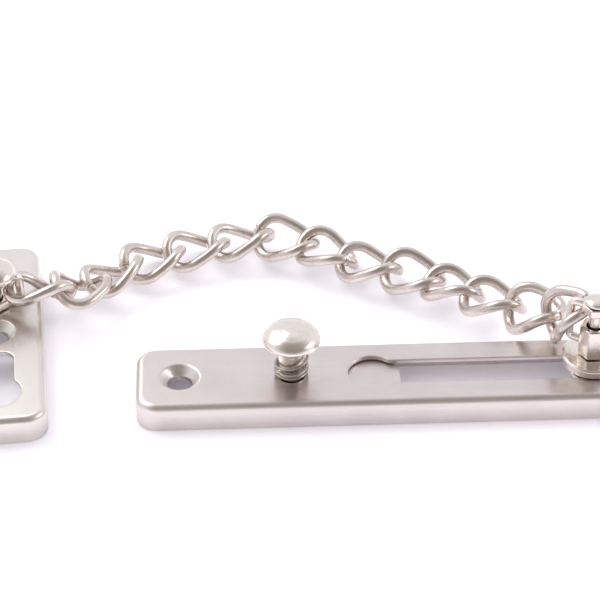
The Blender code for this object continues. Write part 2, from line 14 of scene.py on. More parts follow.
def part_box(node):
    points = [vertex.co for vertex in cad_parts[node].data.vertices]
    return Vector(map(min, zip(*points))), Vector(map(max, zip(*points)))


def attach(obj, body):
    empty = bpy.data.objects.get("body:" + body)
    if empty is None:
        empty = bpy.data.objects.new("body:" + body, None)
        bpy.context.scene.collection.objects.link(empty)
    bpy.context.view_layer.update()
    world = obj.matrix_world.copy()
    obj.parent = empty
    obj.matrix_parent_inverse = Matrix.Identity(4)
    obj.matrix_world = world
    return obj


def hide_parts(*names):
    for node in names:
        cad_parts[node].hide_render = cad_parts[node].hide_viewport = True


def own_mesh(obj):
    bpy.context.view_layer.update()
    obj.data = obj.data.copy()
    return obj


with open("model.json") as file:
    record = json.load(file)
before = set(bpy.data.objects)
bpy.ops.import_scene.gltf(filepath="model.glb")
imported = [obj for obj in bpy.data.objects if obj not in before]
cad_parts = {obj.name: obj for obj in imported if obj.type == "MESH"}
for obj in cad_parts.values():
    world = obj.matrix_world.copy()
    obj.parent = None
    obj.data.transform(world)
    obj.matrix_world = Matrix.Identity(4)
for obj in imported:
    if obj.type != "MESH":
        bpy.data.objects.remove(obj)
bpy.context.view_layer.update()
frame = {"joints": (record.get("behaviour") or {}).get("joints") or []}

MM = 0.001

# Pressed plates: sheet and edges
ANCHOR_LENGTH = 58.0
PLATE_WIDTH = 19.0
SHEET = 1.0
PLATE_CORNER = 4.2
PLATE_FILLET = 1.4
INNER_FILLET = 0.9
RIM_ROUND = 0.22
HOLE_ROUND = 0.16
FLAT_MARGIN = 0.25
CORNER_STEPS = 14
FILLET_STEPS = 8

# Holes, placed from the plates' ends: entries as (place, radius), slots as (end, half width)
SINK_RADIUS = 4.0
SINK_SHOULDER = 0.55
SCREW_RADIUS = 2.2
TRACK_SCREW_INSET = 8.8
TRACK_ENTRY = (47.6, 5.0)
TRACK_SLOT = (98.0, 3.55)
ANCHOR_SCREW_INSET = 28.4
ANCHOR_ENTRY = (9.2, 4.7)
ANCHOR_SLOT = (21.5, 3.35)
SLOT_CORNER_SHARE = 0.6
NECK_FLARE = 1.8
STEM_HOLE_RADIUS = 2.9
STUD_HOLE_RADIUS = 1.8
ROUND_STEPS = 64

# Blocking plate
BLOCK_CORNER_SHARE = 0.4
BLOCK_EDGE = 0.12

# Turned pieces and the gaps round them
STEM_RADIUS = 2.6
NECK_RADIUS = 2.1
STUD_CAP_RADIUS = 2.5
FLANGE_THICKNESS = 2.1
KNOB_HEAD_HEIGHT = 3.2
ANCHOR_HEAD_HEIGHT = 2.8
FIT_GAP = 0.3
SMALL_GAP = 0.25
STEP_GAP = 0.2
PIN_RADIUS = 1.5
SPINDLE_RADIUS = 1.38
BORE_RADIUS = 1.8
RIVET_REACH = 0.7
HEAD_STEP = 0.12
HEAD_RIM = 0.5
EDGE_SOFTENING = 0.15
WASHER_SOFTENING = 0.12
TURNED_STEPS = 96
RIPPLE_HEIGHT = 0.02
RIPPLE_PITCHES = (0.47, 0.73)

# Shackles
BAR_RADIUS = 0.9
BAR_OFFSET = 5.3
SLEEVE_RADIUS = 3.1
LOWER_SLEEVE_TOP = 15.4
LOWER_BAR_HEIGHT = 11.2
ARM_THICKNESS = 1.8
BAR_SINK = 0.35
BAR_SIDES = 24
SLEEVE_SIDES = 6
SLEEVE_EDGE = 0.22
SLEEVE_SOFTENING = 0.35
BEND_SHARE = 1.3

# Chain
LINK_COUNT = 14
WIRE_RADIUS = 1.15
LINK_HALF_LENGTH = 6.55
LINK_HALF_WIDTH = 5.0
LINK_TWIST = math.radians(80.0)
LINK_ROLLS = (-24.0, 0.0, -18.0, -6.0, -6.0, -12.0, 10.0, -6.0, -6.0, 8.0, -10.0, -6.0, 24.0, 52.0)
SLIDER_EYE_PLAY = 0.3
SEAM_PLACES = {3: 0.72, 4: 0.7, 7: 0.67, 8: 0.13, 9: 0.715, 13: 0.21}
HIDDEN_SEAM = 0.35
SEAM_DEPTH = 0.42
SEAM_WIDTH = 0.17
SEAM_STEPS = (0.0, 0.5, 1.0, 1.6, 2.4)
WIRE_SIDES = 20
LINK_STEPS = 88
LINK_GRAIN_STEP = 40.0

# Spring
SPRING_WIRE = 0.27
SPRING_RADIUS = 3.2
SPRING_LOW_TURNS = 2.5
SPRING_OPEN_TURNS = 1.0
SPRING_HIGH_TURNS = 1.5
SPRING_CLOSE_PITCH = 0.85
SPRING_STEPS = 40
SPRING_SIDES = 12
SPRING_END_SHARE = 0.8

# Finishes: darker and lighter tint of each metal, and the colour in its fine lines
TRACK_TINTS = ((0.77, 0.705, 0.69), (0.83, 0.76, 0.735))
ANCHOR_TINTS = ((0.77, 0.735, 0.695), (0.83, 0.79, 0.745))
BRUSHED_LINE = (0.6, 0.55, 0.53)
BRUSH_STRETCH = (0.05, 3.0, 3.0)
BRUSH_SPREAD = 0.72
COARSE_SHARE = 0.35
TURNED_TINTS = ((0.8, 0.735, 0.68), (0.88, 0.82, 0.765))
TURNED_LINE = (0.58, 0.52, 0.46)
CHAIN_TINTS = ((0.64, 0.572, 0.53), (0.76, 0.69, 0.645))
CHAIN_ROUGHNESS = 0.27
SPRING_TINTS = ((0.34, 0.31, 0.29), (0.5, 0.46, 0.42))
SPRING_ROUGHNESS = 0.26

# View
AIM = Vector((-24.553, 40.974, 0.0)) * MM
VIEW_AZIMUTH = math.radians(2.777)
VIEW_ELEVATION = math.radians(37.601)
VIEW_ROLL = math.radians(0.226)
VIEW_DISTANCE = 449.304 * MM
LENS = 125.55

# Studio: the floor's glow with painted soft shade where the pieces occlude it, and the walls, dimmer
# on one side
SHADOW_REACH = 9.0
SHADOW_SAMPLES = 12
SHADE_FROM = 0.08
SHADE_TO = 0.85
SHADE_GLOW = (0.1, 0.095, 0.11)
OPEN_GLOW = (0.36, 0.355, 0.42)
FLOOR_SIZE = 2.5
DIM_WAY = (0.12, -0.62, 0.77)
DIM_FROM = 0.35
DIM_TO = 0.95
WALL_COLOUR = (0.93, 0.93, 0.97)
DIM_COLOUR = (0.35, 0.315, 0.29)
LIGHT_COLOUR = (1.0, 0.96, 0.9)


# ---------------------------------------------------------------- places from the frame

def middle(node):
    """Centre of a CAD node's box in millimetres."""
    low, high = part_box(node)
    return (low + high) / 2 / MM


def top_of(node):
    """Top of a CAD node in millimetres."""
    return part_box(node)[1].z / MM


def bottom_of(node):
    """Bottom of a CAD node in millimetres."""
    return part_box(node)[0].z / MM


def joint_place(name):
    """Where a hinge of the record stands, in millimetres."""
    found = next(joint for joint in frame["joints"] if joint["name"] == name)
    return Vector(found["pos_m"]) / MM


# ---------------------------------------------------------------- mesh helpers

def finish_mesh(name, bm, body, nodes, finish, pose=None, grain=None):
    """Turn a bmesh in millimetres into a piece that rides on a body."""
    bmesh.ops.recalc_face_normals(bm, faces=bm.faces)
    coords = [grain(v.co) if grain else v.co.copy() for v in bm.verts]
    bmesh.ops.scale(bm, vec=Vector((MM, MM, MM)), verts=bm.verts)
    mesh = bpy.data.meshes.new(name)
    bm.to_mesh(mesh)
    bm.free()
    store_grain(mesh, coords)
    return add_piece(name, mesh, body, nodes, finish, pose)


def store_grain(mesh, coords):
    """Keep the finish's own coordinates, in millimetres, on the mesh."""
    attribute = mesh.attributes.new("grain", "FLOAT_VECTOR", "POINT")
    for item, co in zip(attribute.data, coords):
        item.vector = co


def add_piece(name, mesh, body, nodes, finish, pose=None):
    """Put a mesh in the scene as a finished piece that stands for CAD nodes."""
    mesh.shade_smooth()
    mesh.set_sharp_from_angle(angle=math.radians(32.0))
    mesh.materials.append(finish)
    piece = bpy.data.objects.new(name, mesh)
    bpy.context.scene.collection.objects.link(piece)
    if pose is not None:
        piece.matrix_world = pose
    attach(piece, body)
    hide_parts(*nodes)
    return piece


def pose_at(place, turn=0.0):
    """World matrix of a piece built round its own axis."""
    return Matrix.Translation(Vector(place) * MM) @ Matrix.Rotation(turn, 4, "Z")


def add_loop(bm, points):
    """Vertices for one closed outline."""
    return [bm.verts.new(point) for point in points]


def bridge(bm, first, second):
    """Quads between two outlines with the same number of points."""
    count = len(first)
    for i in range(count):
        j = (i + 1) % count
        bm.faces.new((first[i], first[j], second[j], second[i]))


def bridge_all(bm, loops):
    """Skin a list of outlines and return their vertices."""
    rings = [add_loop(bm, points) for points in loops]
    for first, second in zip(rings, rings[1:]):
        bridge(bm, first, second)
    return rings


def fill_between(bm, rings):
    """Flat face between an outer ring and the rings of its holes."""
    edges = []
    for ring in rings:
        for i, vertex in enumerate(ring):
            edges.append(bm.edges.get((vertex, ring[(i + 1) % len(ring)])))
    bmesh.ops.triangle_fill(bm, use_beauty=True, edges=edges)


def soften(points, radius, steps=4, closed=False):
    """Round the corners of an outline given as 2D points."""
    count = len(points)
    result = []
    for i in range(count):
        here = Vector(points[i])
        if not closed and i in (0, count - 1):
            result.append(here)
            continue
        before = Vector(points[i - 1])
        after = Vector(points[(i + 1) % count])
        reach = min(radius, (before - here).length * 0.45, (after - here).length * 0.45)
        start = here + (before - here).normalized() * reach
        end = here + (after - here).normalized() * reach
        for step in range(steps + 1):
            t = step / steps
            result.append(start * (1 - t) ** 2 + here * 2 * t * (1 - t) + end * t * t)
    return result


def spin(bm, profile, steps, closed=False):
    """Turn a profile of (radius, height) about the upright axis."""
    rings = []
    for radius, height in profile:
        if radius < 1e-6:
            rings.append([bm.verts.new((0.0, 0.0, height))])
            continue
        angles = [2 * math.pi * i / steps for i in range(steps)]
        rings.append(add_loop(bm, [(radius * math.cos(a), radius * math.sin(a), height)
                                   for a in angles]))
    pairs = list(zip(rings, rings[1:]))
    if closed:
        pairs.append((rings[-1], rings[0]))
    for first, second in pairs:
        if len(first) == 1 or len(second) == 1:
            pole, ring = (first, second) if len(first) == 1 else (second, first)
            for i in range(steps):
                bm.faces.new((pole[0], ring[i], ring[(i + 1) % steps]))
        else:
            bridge(bm, first, second)


def turned_piece(name, profile, place, body, nodes, finish, closed=False):
    """A turned piece from its profile."""
    bm = bmesh.new()
    spin(bm, profile, TURNED_STEPS, closed)
    return finish_mesh(name, bm, body, nodes, finish, pose_at(place))


def dome(radius, rim_z, crown_z, steps=44):
    """Profile of a domed head, crown first, with shallow turning rings."""
    points = []
    for i in range(steps + 1):
        angle = math.pi / 2 * i / steps
        across = radius * math.sin(angle)
        fade = min(1.0, across / radius * 3) * min(1.0, (1 - i / steps) * 6)
        ripple = RIPPLE_HEIGHT * fade * math.prod(
            math.cos(2 * math.pi * across / pitch) for pitch in RIPPLE_PITCHES)
        points.append((across, rim_z + (crown_z - rim_z) * math.cos(angle) + ripple - RIPPLE_HEIGHT))
    return points


def tube_rings(path, closed):
    """Cross-section axes along a path, carried without twist and closed evenly."""
    count = len(path)
    tangents = []
    for i in range(count):
        ahead = path[(i + 1) % count] if closed or i + 1 < count else path[i]
        behind = path[i - 1] if closed or i > 0 else path[i]
        tangents.append((ahead - behind).normalized())
    side = tangents[0].orthogonal().normalized()
    sides = [side]
    for i in range(1, count + (1 if closed else 0)):
        rotation = tangents[i - 1].rotation_difference(tangents[i % count])
        side = (rotation @ side).normalized()
        sides.append(side)
    drift = 0.0
    if closed:
        last = sides.pop()
        drift = math.atan2(tangents[0].dot(sides[0].cross(last)), sides[0].dot(last))
    frames = []
    for i in range(count):
        turn = Matrix.Rotation(-drift * i / count, 3, tangents[i])
        across = turn @ sides[i]
        frames.append((across, tangents[i].cross(across)))
    return frames


def tube(bm, path, radii, sides, closed, grain_start=0.0):
    """Round wire along a path. Returns the grain coordinates of its vertices."""
    coords = []
    rings = []
    travelled = grain_start
    for i, (across, up) in enumerate(tube_rings(path, closed)):
        if i > 0:
            travelled += (path[i] - path[i - 1]).length
        ring = []
        for k in range(sides):
            angle = 2 * math.pi * k / sides
            offset = across * math.cos(angle) + up * math.sin(angle)
            ring.append(bm.verts.new(path[i] + offset * radii[i]))
            coords.append(Vector((travelled, radii[i] * math.cos(angle), radii[i] * math.sin(angle))))
        rings.append(ring)
    for first, second in zip(rings, rings[1:]):
        bridge(bm, first, second)
    if closed:
        bridge(bm, rings[-1], rings[0])
    else:
        bm.faces.new(rings[0])
        bm.faces.new(rings[-1])
    return coords


# ---------------------------------------------------------------- node helpers

def node(tree, kind, inputs=None, **settings):
    """A shader node with its settings and inputs; an input may be another node's output."""
    made = tree.nodes.new(kind)
    for key, value in settings.items():
        setattr(made, key, value)
    for key, value in (inputs or {}).items():
        if isinstance(value, bpy.types.NodeSocket):
            tree.links.new(value, made.inputs[key])
        else:
            made.inputs[key].default_value = value
    return made


def stretched_noise(tree, grain, stretch, scale, detail=4.0):
    """Noise over the grain coordinates, stretched by a scale for each axis."""
    mapped = node(tree, "ShaderNodeMapping", {"Vector": grain, "Scale": stretch})
    made = node(tree, "ShaderNodeTexNoise",
                {"Vector": mapped.outputs["Vector"], "Scale": scale, "Detail": detail})
    return made.outputs["Fac"]


def ramp_between(tree, value, low, high, to_low, to_high):
    """Map a value from one range to another, clamped."""
    made = node(tree, "ShaderNodeMapRange", {"Value": value, "From Min": low, "From Max": high,
                                             "To Min": to_low, "To Max": to_high})
    return made.outputs["Result"]


def mix_colours(tree, factor, first, second):
    """Blend two colours."""
    made = node(tree, "ShaderNodeMix", data_type="RGBA")
    tree.links.new(factor, made.inputs["Factor"])
    for socket, colour in ((made.inputs[6], first), (made.inputs[7], second)):
        if isinstance(colour, bpy.types.NodeSocket):
            tree.links.new(colour, socket)
        else:
            socket.default_value = (*colour, 1.0)
    return made.outputs[2]


def add_values(tree, first, second):
    """Sum of two values."""
    made = node(tree, "ShaderNodeMath", operation="ADD")
    for socket, value in zip(made.inputs, (first, second)):
        if isinstance(value, bpy.types.NodeSocket):
            tree.links.new(value, socket)
        else:
            socket.default_value = value
    return made.outputs["Value"]


def stacked_bumps(tree, layers):
    """Chain of bump nodes for (height, strength, distance in millimetres)."""
    normal = None
    for height, strength, distance in layers:
        inputs = {"Height": height, "Strength": strength, "Distance": distance * MM}
        if normal is not None:
            inputs["Normal"] = normal
        normal = node(tree, "ShaderNodeBump", inputs).outputs["Normal"]
    return normal


def start_metal(name):
    """A metal material, its shader and its grain coordinates."""
    material = bpy.data.materials.new(name)
    material.use_nodes = True
    tree = material.node_tree
    shader = tree.nodes["Principled BSDF"]
    shader.inputs["Metallic"].default_value = 1.0
    grain = node(tree, "ShaderNodeAttribute", attribute_name="grain").outputs["Vector"]
    return material, tree, shader, grain


def brushed_metal(name, low, high):
    """Satin nickel with fine lines along local X and a sheen spread across them."""
    material, tree, shader, grain = start_metal(name)
    fine = stretched_noise(tree, grain, BRUSH_STRETCH, 9.0, 5.0)
    coarse = stretched_noise(tree, grain, [s * COARSE_SHARE for s in BRUSH_STRETCH], 5.0, 3.0)
    cloud = stretched_noise(tree, grain, (0.05, 0.05, 0.05), 2.0, 3.0)
    base = mix_colours(tree, ramp_between(tree, cloud, 0.35, 0.65, 0.0, 1.0), low, high)
    tint = mix_colours(tree, ramp_between(tree, fine, 0.35, 0.7, 0.0, 0.28), base, BRUSHED_LINE)
    tree.links.new(tint, shader.inputs["Base Color"])
    rough = add_values(tree, ramp_between(tree, coarse, 0.3, 0.7, 0.27, 0.37),
                       ramp_between(tree, fine, 0.3, 0.7, -0.03, 0.05))
    tree.links.new(rough, shader.inputs["Roughness"])
    shader.inputs["Anisotropic"].default_value = BRUSH_SPREAD
    across = node(tree, "ShaderNodeCombineXYZ", {"X": 0.0, "Y": 1.0, "Z": 0.0}).outputs["Vector"]
    tangent = node(tree, "ShaderNodeVectorTransform", {"Vector": across}, vector_type="VECTOR",
                   convert_from="OBJECT", convert_to="WORLD").outputs["Vector"]
    tree.links.new(tangent, shader.inputs["Tangent"])
    normal = stacked_bumps(tree, [(fine, 0.35, 0.012), (coarse, 0.25, 0.02)])
    tree.links.new(normal, shader.inputs["Normal"])
    return material


def turned_nickel(name, low, high):
    """Bright nickel with irregular turning lines round its axis."""
    material, tree, shader, grain = start_metal(name)
    parts = node(tree, "ShaderNodeSeparateXYZ", {"Vector": grain})
    flat = node(tree, "ShaderNodeCombineXYZ", {"X": parts.outputs["X"], "Y": parts.outputs["Y"]})
    radius = node(tree, "ShaderNodeVectorMath", {0: flat.outputs["Vector"]},
                  operation="LENGTH").outputs["Value"]
    rings = node(tree, "ShaderNodeCombineXYZ", {"X": radius, "Y": parts.outputs["Z"]})
    lines = stretched_noise(tree, rings.outputs["Vector"], (1.0, 1.0, 1.0), 6.5, 5.0)
    cloud = stretched_noise(tree, grain, (0.2, 0.2, 0.2), 2.0, 3.0)
    tint = mix_colours(tree, ramp_between(tree, cloud, 0.3, 0.7, 0.0, 1.0), low, high)
    worn = mix_colours(tree, ramp_between(tree, lines, 0.5, 0.75, 0.0, 0.3), tint, TURNED_LINE)
    tree.links.new(worn, shader.inputs["Base Color"])
    rough = ramp_between(tree, lines, 0.3, 0.7, 0.13, 0.24)
    tree.links.new(rough, shader.inputs["Roughness"])
    tree.links.new(stacked_bumps(tree, [(lines, 0.75, 0.035)]), shader.inputs["Normal"])
    return material


def wire_nickel(name, low, high, roughness):
    """Plated wire: drawing lines along it, small dents and a little tarnish."""
    material, tree, shader, grain = start_metal(name)
    drawn = stretched_noise(tree, grain, (0.12, 1.0, 1.0), 4.0, 4.0)
    dents = stretched_noise(tree, grain, (0.5, 0.6, 0.6), 1.6, 2.0)
    tarnish = stretched_noise(tree, grain, (0.25, 0.4, 0.4), 1.0, 3.0)
    tint = mix_colours(tree, ramp_between(tree, tarnish, 0.35, 0.65, 0.0, 1.0), low, high)
    tree.links.new(tint, shader.inputs["Base Color"])
    rough = add_values(tree, ramp_between(tree, drawn, 0.3, 0.7, roughness - 0.04, roughness + 0.05),
                       ramp_between(tree, tarnish, 0.3, 0.7, 0.03, -0.03))
    tree.links.new(rough, shader.inputs["Roughness"])
    normal = stacked_bumps(tree, [(drawn, 0.25, 0.015), (dents, 0.4, 0.05)])
    tree.links.new(normal, shader.inputs["Normal"])
    return material


# ---------------------------------------------------------------- plates

def rounded_rectangle(half, corner, inset, z):
    """Outline of a rounded rectangle drawn in by an inset."""
    points = []
    radius = corner - inset
    for side_x, side_y, start in ((1, 1, 0.0), (-1, 1, 90.0), (-1, -1, 180.0), (1, -1, 270.0)):
        centre_x = side_x * (half[0] - corner)
        centre_y = side_y * (half[1] - corner)
        for i in range(CORNER_STEPS + 1):
            angle = math.radians(start + 90.0 * i / CORNER_STEPS)
            points.append((centre_x + radius * math.cos(angle),
                           centre_y + radius * math.sin(angle), z))
    return points


def keyhole(centre, entry_radius, slot_half, slot_length, grow, z):
    """Outline of a round entry with a slot running from it along +X."""
    radius = entry_radius + grow
    half = slot_half + grow
    flare = NECK_FLARE - grow
    corner = slot_half * SLOT_CORNER_SHARE + grow
    flare_x = math.sqrt((radius + flare) ** 2 - (half + flare) ** 2)
    mouth = math.atan2(half + flare, flare_x)
    points = []
    for i in range(ROUND_STEPS + 1):
        angle = mouth + (2 * math.pi - 2 * mouth) * i / ROUND_STEPS
        points.append((radius * math.cos(angle), radius * math.sin(angle)))
    neck = []
    for i in range(1, CORNER_STEPS + 1):
        angle = math.pi - mouth - (math.pi / 2 - mouth) * i / CORNER_STEPS
        neck.append((flare_x + flare * math.cos(angle), -half - flare + flare * math.sin(angle)))
    points += neck
    for sign, start in ((-1, -90.0), (1, 0.0)):
        for i in range(CORNER_STEPS + 1):
            angle = math.radians(start + 90.0 * i / CORNER_STEPS)
            points.append((slot_length + grow - corner + corner * math.cos(angle),
                           sign * (half - corner) + corner * math.sin(angle)))
    points += [(x, -y) for x, y in reversed(neck)]
    return [(centre[0] + x, centre[1] + y, z) for x, y in points]


def round_hole(centre, radius, z):
    """Outline of a round hole."""
    points = []
    for i in range(ROUND_STEPS):
        angle = 2 * math.pi * i / ROUND_STEPS
        points.append((centre[0] + radius * math.cos(angle),
                       centre[1] + radius * math.sin(angle), z))
    return points


def through_hole(outline, top):
    """Outlines of a hole through the sheet, its edges broken top and bottom."""
    bottom = top - SHEET
    loops = [outline(HOLE_ROUND + FLAT_MARGIN, top)]
    for i in range(4):
        angle = math.pi / 2 * i / 3
        loops.append(outline(HOLE_ROUND * (1 - math.sin(angle)),
                             top - HOLE_ROUND * (1 - math.cos(angle))))
    for i in range(4):
        angle = math.pi / 2 * i / 3
        loops.append(outline(HOLE_ROUND * (1 - math.cos(angle)),
                             bottom + HOLE_ROUND * (1 - math.sin(angle))))
    loops.append(outline(HOLE_ROUND + FLAT_MARGIN, bottom))
    return loops


def sunk_hole(centre, top):
    """Outlines of a countersunk screw hole pressed into the sheet."""
    depth = SINK_RADIUS - SCREW_RADIUS
    shoulder = SINK_RADIUS + SINK_SHOULDER
    lip = top - depth - SHEET
    inner = soften([
        (shoulder + FLAT_MARGIN, top),
        (SINK_RADIUS, top),
        (SCREW_RADIUS, top - depth),
        (SCREW_RADIUS, lip),
        (SCREW_RADIUS + SHEET, lip),
        (SINK_RADIUS + SHEET / 2, top - SHEET - 0.2),
        (SINK_RADIUS + 2 * SHEET, top - SHEET),
    ], SINK_SHOULDER, 5)
    return [round_hole(centre, radius, z) for radius, z in inner]


def pressed_plate(name, length, width, height, holes, body, nodes, finish, pose):
    """A pressed tray with rounded edges, open at the back, its length along local X."""
    half = (length / 2, width / 2)
    loops = [rounded_rectangle(half, PLATE_CORNER, SHEET + INNER_FILLET + FLAT_MARGIN, height - SHEET)]
    for i in range(FILLET_STEPS + 1):
        angle = math.pi / 2 * i / FILLET_STEPS
        loops.append(rounded_rectangle(half, PLATE_CORNER,
                                       SHEET + INNER_FILLET * (1 - math.sin(angle)),
                                       height - SHEET - INNER_FILLET * (1 - math.cos(angle))))
    for i in range(7):
        angle = math.pi * i / 6
        loops.append(rounded_rectangle(half, PLATE_CORNER,
                                       SHEET / 2 + (SHEET / 2) * math.cos(angle),
                                       RIM_ROUND * (1 - math.sin(angle))))
    for i in range(FILLET_STEPS + 1):
        angle = math.pi / 2 * i / FILLET_STEPS
        loops.append(rounded_rectangle(half, PLATE_CORNER, PLATE_FILLET * (1 - math.cos(angle)),
                                       height - PLATE_FILLET * (1 - math.sin(angle))))
    loops.append(rounded_rectangle(half, PLATE_CORNER, PLATE_FILLET + FLAT_MARGIN, height))
    bm = bmesh.new()
    outer = bridge_all(bm, loops)
    hole_rings = [bridge_all(bm, loops_of_hole) for loops_of_hole in holes]
    fill_between(bm, [outer[-1]] + [rings[0] for rings in hole_rings])
    fill_between(bm, [outer[0]] + [rings[-1] for rings in hole_rings])
    return finish_mesh(name, bm, body, nodes, finish, pose)


def build_track_plate(finish):
    """The long plate: two screw holes, the keyhole and the stem's hole."""
    low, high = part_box("track_plate")
    size = (high - low) / MM
    centre = (high + low) / 2 / MM
    start = -size.x / 2
    entry_x = start + TRACK_ENTRY[0]
    slot_length = TRACK_SLOT[0] - TRACK_ENTRY[0]
    stem_x = middle("press_knob").x - centre.x

    def keyhole_at(grow, z):
        return keyhole((entry_x, 0.0), TRACK_ENTRY[1], TRACK_SLOT[1], slot_length, grow, z)

    def stem_hole_at(grow, z):
        return round_hole((stem_x, 0.0), STEM_HOLE_RADIUS + grow, z)

    holes = [
        sunk_hole((start + TRACK_SCREW_INSET, 0.0), size.z),
        sunk_hole((-start - TRACK_SCREW_INSET, 0.0), size.z),
        through_hole(keyhole_at, size.z),
        through_hole(stem_hole_at, size.z),
    ]
    pose = pose_at((centre.x, centre.y, 0.0))
    pressed_plate("track_plate_shell", size.x, size.y, size.z, holes, "track", ["track_plate"],
                  finish, pose)


def build_anchor_plate(finish):
    """The short plate. Its local +X runs from its near end to its far end."""
    centre = middle("anchor_plate")
    stud = middle("anchor_stud")
    away = math.atan2(stud.y - centre.y, stud.x - centre.x)
    length, width, height = ANCHOR_LENGTH, PLATE_WIDTH, top_of("anchor_plate")
    start = -length / 2

    def keyhole_at(grow, z):
        return keyhole((start + ANCHOR_ENTRY[0], 0.0), ANCHOR_ENTRY[1], ANCHOR_SLOT[1],
                       ANCHOR_SLOT[0] - ANCHOR_ENTRY[0], grow, z)

    def stud_hole_at(grow, z):
        stud_x = (Vector((stud.x, stud.y)) - Vector((centre.x, centre.y))).length
        return round_hole((stud_x, 0.0), STUD_HOLE_RADIUS + grow, z)

    holes = [
        sunk_hole((start + ANCHOR_SCREW_INSET, 0.0), height),
        through_hole(keyhole_at, height),
        through_hole(stud_hole_at, height),
    ]
    pose = pose_at((centre.x, centre.y, 0.0), away)
    pressed_plate("anchor_plate_shell", length, width, height, holes, "anchor", ["anchor_plate"],
                  finish, pose)


def build_blocking_plate(finish):
    """The tongue under the keyhole, with rounded ends and broken edges."""
    low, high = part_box("blocking_plate")
    size = (high - low) / MM
    centre = (high + low) / 2 / MM
    half = (size.x / 2, size.y / 2)
    corner = size.y * BLOCK_CORNER_SHARE
    knob_x = middle("press_knob").x - centre.x
    edge = BLOCK_EDGE
    bm = bmesh.new()
    outer = bridge_all(bm, [
        rounded_rectangle(half, corner, inset, z) for inset, z in (
            (2 * edge + 0.2, 0.0), (edge, 0.0), (edge / 3, edge / 3), (0.0, edge),
            (0.0, size.z - edge), (edge / 3, size.z - edge / 3), (edge, size.z),
            (2 * edge + 0.2, size.z))])
    hole = bridge_all(bm, [round_hole((knob_x, 0.0), BORE_RADIUS, z) for z in (0.0, size.z)])
    fill_between(bm, [outer[0], hole[0]])
    fill_between(bm, [outer[-1], hole[-1]])
    pose = pose_at((centre.x, centre.y, low.z / MM))
    finish_mesh("blocking_plate_leaf", bm, "knob", ["blocking_plate"], finish, pose)


# ---------------------------------------------------------------- turned pieces

def rivet_end(shank, shoulder_z, rivet_z, bottom_z):
    """Lower part of a turned profile: the shank and its riveted end."""
    return [
        (shank, shoulder_z),
        (shank, rivet_z),
        (shank + RIVET_REACH, rivet_z),
        (shank + RIVET_REACH - STEP_GAP, bottom_z),
        (0.0, bottom_z),
    ]


def build_knob(finish):
    """Mushroom head and stem with the riveted end."""
    low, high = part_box("press_knob")
    axis = middle("press_knob")
    radius = (high.x - low.x) / MM / 2
    crown = high.z / MM
    rim = crown - KNOB_HEAD_HEIGHT
    block_top = top_of("blocking_plate")
    washer_bottom = bottom_of("knob_washer")
    profile = dome(radius - HEAD_STEP, rim + HEAD_RIM, crown)
    profile += soften([
        (radius - HEAD_STEP, rim + HEAD_RIM - 0.02),
        (radius, rim + 0.38),
        (radius - 0.1, rim + 0.22),
        (radius - 0.6, rim),
        (STEM_RADIUS, rim),
        (STEM_RADIUS, block_top + STEP_GAP),
        (PIN_RADIUS, block_top + STEP_GAP),
    ], 0.18)[1:]
    end = rivet_end(PIN_RADIUS, block_top, washer_bottom - STEP_GAP, bottom_of("press_knob"))
    profile += soften(end, EDGE_SOFTENING)
    turned_piece("press_knob_turned", profile, (axis.x, axis.y, 0.0), "knob", ["press_knob"],
                 finish)


def build_washer(name, node_name, body, bore, finish):
    """A plain washer with broken edges, the size of its CAD node."""
    low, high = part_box(node_name)
    axis = middle(node_name)
    radius = (high.x - low.x) / MM / 2
    top = high.z / MM
    bottom = low.z / MM
    profile = soften([(bore, top), (radius, top), (radius, bottom), (bore, bottom)],
                     WASHER_SOFTENING, closed=True)
    turned_piece(name, profile, (axis.x, axis.y, 0.0), body, [node_name], finish,
                 closed=True)


def build_slider_stud(finish):
    """Flange, neck, pin and crown of the slider."""
    low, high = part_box("slider_stud")
    axis = middle("slider_stud")
    flange = (high.x - low.x) / MM / 2
    plate_top = top_of("track_plate")
    flange_bottom = plate_top + SMALL_GAP
    flange_top = flange_bottom + FLANGE_THICKNESS
    cap_bottom = top_of("slider_shackle") + FIT_GAP
    foot_top = top_of("slider_foot")
    foot_bottom = bottom_of("slider_foot")
    crown = dome(STUD_CAP_RADIUS - 0.1, cap_bottom + FIT_GAP, high.z / MM, 20)
    lower = soften([
        (STUD_CAP_RADIUS - 0.1, cap_bottom + 0.28),
        (STUD_CAP_RADIUS, cap_bottom),
        (SPINDLE_RADIUS, cap_bottom),
        (SPINDLE_RADIUS, flange_top),
        (flange - 0.4, flange_top),
        (flange, flange_top - 0.4),
        (flange - 0.12, flange_bottom + 0.25),
        (flange - 0.4, flange_bottom),
        (NECK_RADIUS, flange_bottom),
        (NECK_RADIUS, foot_top + STEP_GAP),
        (PIN_RADIUS, foot_top + STEP_GAP),
    ], 0.14)[1:]
    end = soften(rivet_end(PIN_RADIUS, foot_top, foot_bottom - SMALL_GAP, low.z / MM),
                 EDGE_SOFTENING)
    turned_piece("slider_stud_turned", crown + lower + end, (axis.x, axis.y, 0.0), "slider",
                 ["slider_stud"], finish)


